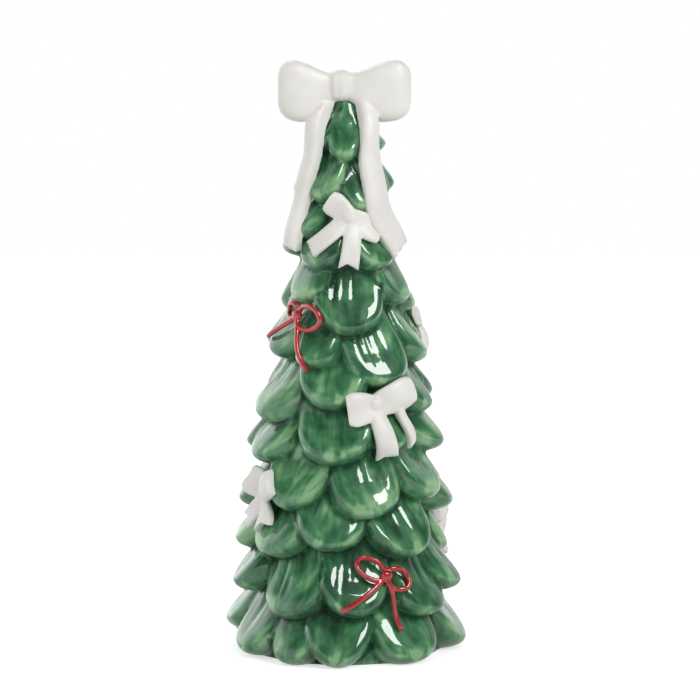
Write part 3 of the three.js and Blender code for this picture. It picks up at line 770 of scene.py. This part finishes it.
def green_tone(shader, brush, pool_and_shade):
    """How pale the green glaze is: brush marks, patches, pale places along the lips, boughs that are paler
    as a whole, and darker creases, partly glaze that pools there and partly painted shade."""
    streaks = shader.noise(shader.stretched(brush, (0.5, 0.07, 1)), 1.0, 2)
    patches = shader.noise(shader.stretched(brush, (0.11, 0.08, 1)), 1.0, 2, 0.55)
    glow_places = shader.noise(shader.stretched(brush, (0.1, 0.08, 1)), 1.0, 2)
    glow_share = shader.ramp(glow_places, [(0.54, BLACK), (0.66, WHITE)])
    glow = shader.math("MULTIPLY", shader.attribute("lip"), glow_share)
    whole_bough = shader.noise(shader.stretched(brush, (0.02, 0.02, 1)), 1.0, 0)
    # Creases are darkened, partly as glaze that pools there and partly as painted shade.
    crease_pool_and_shade = shader.math("MAXIMUM", pool_and_shade, 0.0)
    return shader.weighted(
        (streaks, 0.18), (patches, 0.82), (glow, 0.17), (shader.math("SUBTRACT", whole_bough, 0.5), 0.24),
        (pool_and_shade, -0.12), (crease_pool_and_shade, -0.3),
    )


def green_glaze():
    shader = Shader("green_glaze_surface")
    brush = shader.attribute("brush", "Vector")
    pool_and_shade = shader.attribute("pool_and_shade")
    tone = green_tone(shader, brush, pool_and_shade)
    colour = shader.ramp(tone, [
        (0.22, linear(27, 60, 42)), (0.35, linear(36, 82, 54)), (0.46, linear(52, 107, 70)),
        (0.56, linear(76, 134, 91)), (0.7, linear(132, 177, 128)),
    ])
    fine = shader.noise(brush, 0.24, 2)
    # The coat is left off in creases, which takes away their reflections there as painted shade.
    open_air = shader.ramp(pool_and_shade, [(0.12, WHITE), (0.5, BLACK)])
    shader.fill(shader.surface, {
        "Base Color": colour, "Roughness": 0.4, "Specular IOR Level": 0.15, "Coat Weight": open_air,
        "Coat Roughness": 0.02, "Coat IOR": 1.55, "Normal": shader.bump(fine, 0.16, 0.0012),
    })
    return shader.material


def bare_clay():
    shader = Shader("bare_clay_surface")
    place = shader.place()
    tone = shader.noise(place, 180, 5)
    shader.fill(shader.surface, {
        "Base Color": shader.ramp(tone, [(0.3, linear(205, 190, 168)), (0.7, linear(226, 214, 196))]),
        "Roughness": 0.85, "Normal": shader.bump(shader.noise(place, 900, 2), 0.3, 0.0002),
    })
    return shader.material


def white_glaze():
    shader = Shader("white_glaze_surface")
    place = shader.place()
    tone = shader.noise(place, 60, 2)
    shader.fill(shader.surface, {
        "Base Color": shader.ramp(tone, [(0.3, linear(226, 223, 217)), (0.7, linear(236, 234, 230))]),
        "Roughness": 0.5, "Specular IOR Level": 0.4, "Coat Weight": 0.2, "Coat Roughness": 0.4,
        "Coat IOR": 1.5,
        "Normal": shader.bump(shader.noise(place, 160, 2), 0.08, 0.0006),
    })
    return shader.material


def red_glaze():
    shader = Shader("red_glaze_surface")
    place = shader.place()
    tone = shader.noise(place, 220, 3)
    shader.fill(shader.surface, {
        "Base Color": shader.ramp(tone, [(0.3, linear(158, 16, 24)), (0.7, linear(190, 28, 34))]),
        "Roughness": 0.3, "Coat Weight": 1.0, "Coat Roughness": 0.04, "Coat IOR": 1.5,
        "Normal": shader.bump(shader.noise(place, 400, 2), 0.1, 0.0003),
    })
    return shader.material


def skin_samples(bough):
    """Points spread over a bough's skin and some way back under its lip."""
    downs, across = np.linspace(*SKIN_DOWN, SKIN_SAMPLES[0]), np.linspace(*SKIN_ACROSS, SKIN_SAMPLES[1])
    down, u = np.meshgrid(downs, across, indexing="ij")
    bulge = bulge_at(u)
    slope = np.minimum(down, 1)
    drop = np.maximum(down - 1, 0) * UNDERSIDE_FALL * LIP_HEIGHT
    height = bough["top"] - slope * (bough["top"] - bough["lip"]) - drop
    height = height + (1 - bulge) * bough["rise"] * slope
    radii = bough["root"] + along(SLOPE, slope) * (bough["reach"] - bough["root"])
    inside = along(TRUNK, height) - BURIED
    radius = inside + (radii - UNDERSIDE_CURVE * drop ** 2 - inside) * bulge ** FULLNESS
    x, height = tilted(u * half_width_at(bough, slope), height, bough)
    return turned(np.stack([x, -radius, height], axis=-1), bough["azimuth"]).reshape(-1, 3)


def nearest_boughs(points):
    """For each point, which bough it belongs to: the one with the nearest point on its skin."""
    samples, owners = [], []
    for index in range(len(BOUGHS)):
        skin = skin_samples(bough_frame(index))
        samples.append(skin)
        owners.append(np.full(len(skin), index))
    samples, owners = np.concatenate(samples), np.concatenate(owners)
    tree = KDTree(len(samples))
    for index, sample in enumerate(samples):
        tree.insert(sample, index)
    tree.balance()
    return owners[[tree.find(point)[1] for point in points]]


def edge_ends(obj):
    """The vertices at the two ends of each edge."""
    ends = np.empty(len(obj.data.edges) * 2, int)
    obj.data.edges.foreach_get("vertices", ends)
    return ends.reshape(-1, 2).T


def settled(obj, owners):
    """The owners of the points, with strays given to the bough of most of their neighbours."""
    a, b = edge_ends(obj)
    itself = np.arange(len(owners))
    points, neighbours = np.concatenate([a, b, itself]), np.concatenate([b, a, itself])
    for _ in range(SETTLING_ROUNDS):
        keys, votes = np.unique(points * len(BOUGHS) + owners[neighbours], return_counts=True)
        keys = keys[np.argsort(votes, kind="stable")]
        owners = owners.copy()
        owners[keys // len(BOUGHS)] = keys % len(BOUGHS)
    return owners


def brush_places(points, owners):
    """Where each point lies on its bough, across it and down it in millimetres, and how near its lip's edge.
    The way down and the lip's rise depend on each other, so they are found in a few rounds."""
    frames = [bough_frame(index) for index in range(len(BOUGHS))]
    value = {key: np.array([bough[key] for bough in frames], float)[owners] for key in frames[0]}
    c, s = np.cos(np.radians(value["azimuth"])), np.sin(np.radians(value["azimuth"]))
    across, height = tilted(points[:, 0] * c + points[:, 1] * s, points[:, 2], value, -1)
    down = np.full(len(points), DOWN_GUESS)
    for _ in range(DOWN_ROUNDS):
        rise = (1 - bulge_at(across / half_width_at(value, down))) * value["rise"]
        down = np.clip((value["top"] - height) / (value["top"] - value["lip"] - rise), 0, DOWN_LIMIT)
    length = down * (value["top"] - value["lip"])
    lip = np.exp(-(((height - value["lip"] - rise) / LIP_BAND) ** 2))
    return np.stack([across, length, owners * BRUSH_SPACING], axis=1), lip


def crease_depths(obj, points):
    """How deep each point lies under its surroundings, from -1 on a ridge to 1 in a crease."""
    a, b = edge_ends(obj)
    count = np.bincount(a, minlength=len(points)) + np.bincount(b, minlength=len(points))
    smooth = points.copy()
    for _ in range(CREASE_ROUNDS):
        for axis in range(3):
            from_b = np.bincount(a, smooth[b, axis], len(points))
            from_a = np.bincount(b, smooth[a, axis], len(points))
            smooth[:, axis] = (from_b + from_a) / np.maximum(count, 1)
    normals = np.empty(len(points) * 3)
    obj.data.vertices.foreach_get("normal", normals)
    return np.clip(((smooth - points) * normals.reshape(-1, 3)).sum(1) / CREASE_DEPTH_SCALE, -1, 1)


def set_attribute(obj, name, values, kind):
    attribute = obj.data.attributes.new(name, kind, "POINT")
    key = "vector" if kind == "FLOAT_VECTOR" else "value"
    attribute.data.foreach_set(key, np.ascontiguousarray(values, np.float32).ravel())


def glaze_casting(body):
    """Gives the casting its glaze, and bare clay inside and under the foot."""
    points = vertices_of(body)
    brush, lip = brush_places(points, settled(body, nearest_boughs(points)))
    set_attribute(body, "brush", brush, "FLOAT_VECTOR")
    set_attribute(body, "lip", lip, "FLOAT")
    # How deep each point lies in a crease; it darkens the glaze there, partly as pooled glaze and partly as
    # painted shade.
    set_attribute(body, "pool_and_shade", crease_depths(body, points), "FLOAT")
    body.data.materials.clear()
    body.data.materials.append(green_glaze())
    body.data.materials.append(bare_clay())
    inner = np.hypot(points[:, 0], points[:, 1]) < along(TRUNK, points[:, 2]) - WALL + BARE_DEPTH
    bare = inner | (points[:, 2] < BARE_FOOT)
    faces = body.data.polygons
    slots = [int(all(bare[index] for index in face.vertices)) for face in faces]
    faces.foreach_set("material_index", slots)


def dress(piece, material, nodes):
    """Gives a piece its material, unless it has one, and its place in the frame."""
    if material is not None:
        piece.data.materials.clear()
        piece.data.materials.append(material)
    piece.data.polygons.foreach_set("use_smooth", [True] * len(piece.data.polygons))
    piece.data.set_sharp_from_angle(angle=SHARP_ANGLE)
    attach(piece, "root")
    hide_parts(*nodes)


def backwards(azimuth, elevation):
    """The direction from the tree to a lamp or camera, from degrees."""
    (cos_a, sin_a), (cos_e, sin_e) = cos_sin(azimuth), cos_sin(elevation)
    return Vector((sin_a * cos_e, -cos_a * cos_e, sin_e))


def area_light(name, azimuth, elevation, distance, size, radiance, kind="both"):
    """A rectangular lamp that looks at the tree, given by the light that it sends per unit of its face. A
    plain one lights without a reflection, and a mirrored one is the reflection alone."""
    data = bpy.data.lights.new(name, "AREA")
    data.shape = "RECTANGLE"
    data.size, data.size_y = size
    data.energy = radiance * math.pi * size[0] * size[1]
    lamp = bpy.data.objects.new(name, data)
    back = backwards(azimuth, elevation)
    lamp.location = Vector(LAMP_AIM) + back * distance
    lamp.rotation_euler = back.to_track_quat("Z", "Y").to_euler()
    lamp.visible_camera = False
    lamp.visible_diffuse = kind != "mirrored"
    lamp.visible_glossy = kind != "plain"
    bpy.context.scene.collection.objects.link(lamp)


class Studio(Shader):
    """The node tree of the world or of the floor, whose brightness depends on the kind of ray."""

    def __init__(self, tree):
        self.tree = tree

    def between(self, value, low, high, at_low, at_high):
        inputs = {"Value": value, "From Min": low, "From Max": high, "To Min": at_low, "To Max": at_high}
        return self.add("MapRange", inputs, interpolation_type="SMOOTHSTEP").outputs["Result"]

    def mix(self, share, a, b):
        return self.add("Mix", {"Factor": share, "A": a, "B": b}).outputs["Result"]

    def seen(self, lamp_light, mirrored, in_view):
        """Values for rays that carry light, rays of mirrors and glass, and the camera's own."""
        path = self.add("LightPath", {})
        mirror = self.math("MAXIMUM", path.outputs["Is Glossy Ray"], path.outputs["Is Transmission Ray"])
        return self.mix(path.outputs["Is Camera Ray"], self.mix(mirror, lamp_light, mirrored), in_view)


def world():
    """White to the camera. Mirrors see a dark studio in front of the tree and a white one behind it."""
    scene_world = bpy.data.worlds.new("studio")
    bpy.context.scene.world = scene_world
    scene_world.use_nodes = True
    studio = Studio(scene_world.node_tree)
    direction = studio.add("TexCoord", {}).outputs["Generated"]
    axes = studio.add("SeparateXYZ", {"Vector": direction}).outputs
    back_wall = studio.between(axes["Y"], *BACK_WALL_EDGE, 0.0, BACK_WALL)
    left_panel = studio.between(axes["X"], *LEFT_PANEL_EDGE, LEFT_PANEL, 0.0)
    below_tops = studio.between(axes["Z"], *WALL_TOPS, 1.0, 0.0)
    walls = studio.math("MULTIPLY", studio.math("ADD", back_wall, left_panel), below_tops)
    mirrored = studio.math("ADD", walls, DARK_STUDIO)
    background = studio.tree.nodes["Background"]
    studio.fill(background, {"Color": (1, 1, 1, 1), "Strength": studio.seen(PLAIN_LIGHT, mirrored, 1.0)})


def floor():
    """White to the camera but for the tree's shadow. It brightens away from the tree."""
    shell = Shell()
    corners = [(-1, -1, 0), (1, -1, 0), (1, 1, 0), (-1, 1, 0)]
    shell.add(np.array(corners) * FLOOR_REACH, [[0, 1, 2, 3]])
    obj = shell.to_object("studio_floor")
    shader = Shader("studio_floor_surface")
    studio = Studio(shader.tree)
    place = studio.place()
    distance = studio.add("VectorMath", {0: place}, operation="LENGTH").outputs["Value"]
    seen_glow, mirrored_glow = (studio.between(distance, *GLOW_REACH, near, 1.0) for near in NEAR_GLOW)
    shader.fill(shader.surface, {
        "Base Color": (0.8, 0.8, 0.8, 1), "Roughness": 1.0, "Specular IOR Level": 0.0,
        "Emission Color": (1, 1, 1, 1), "Emission Strength": studio.seen(0.0, mirrored_glow, seen_glow),
    })
    obj.data.materials.append(shader.material)


def camera():
    data = bpy.data.cameras.new("camera")
    data.sensor_width = CAMERA_SENSOR
    data.lens = CAMERA_LENS
    obj = bpy.data.objects.new("camera", data)
    bpy.context.scene.collection.objects.link(obj)
    bpy.context.scene.camera = obj
    back = backwards(0, CAMERA_ELEVATION)
    obj.location = Vector(CAMERA_AIM) + back * CAMERA_DISTANCE
    obj.rotation_euler = back.to_track_quat("Z", "Y").to_euler()


camera()
body = casting()
tail_drape = Drape(vertices_of(body), TAIL_REACH, TAIL_LAID_IN)
drape = Drape(vertices_of(body), BOW_REACH, BOW_LAID_IN)
glaze_casting(body)
dress(body, None, ["tree_body"])
white, red = white_glaze(), red_glaze()
dress(crown_bow(tail_drape), white, nodes_of("crown_"))
for name, spec in WHITE_BOWS.items():
    dress(white_bow(drape, name, *spec), white, nodes_of(name))
for name, spec in RED_BOWS.items():
    dress(red_bow(drape, name, *spec), red, nodes_of(name))

world()
floor()
# Each lamp's azimuth, elevation and distance from the tree, its size, and its light.
area_light("key_softbox", 38, 26, 0.95, (0.5, 0.6), 5.1, "plain")
area_light("key_softbox_face", 40, 52, 0.95, (0.27, 0.44), 15, "mirrored")
area_light("left_panel", -78, 12, 0.95, (1.2, 1.1), 1.1, "plain")
area_light("top_panel", 20, 80, 1.0, (0.5, 0.5), 0.9, "plain")
area_light("back_softbox", -160, 48, 1.0, (0.42, 0.52), 3.0)
bpy.context.scene.view_settings.view_transform = "Standard"
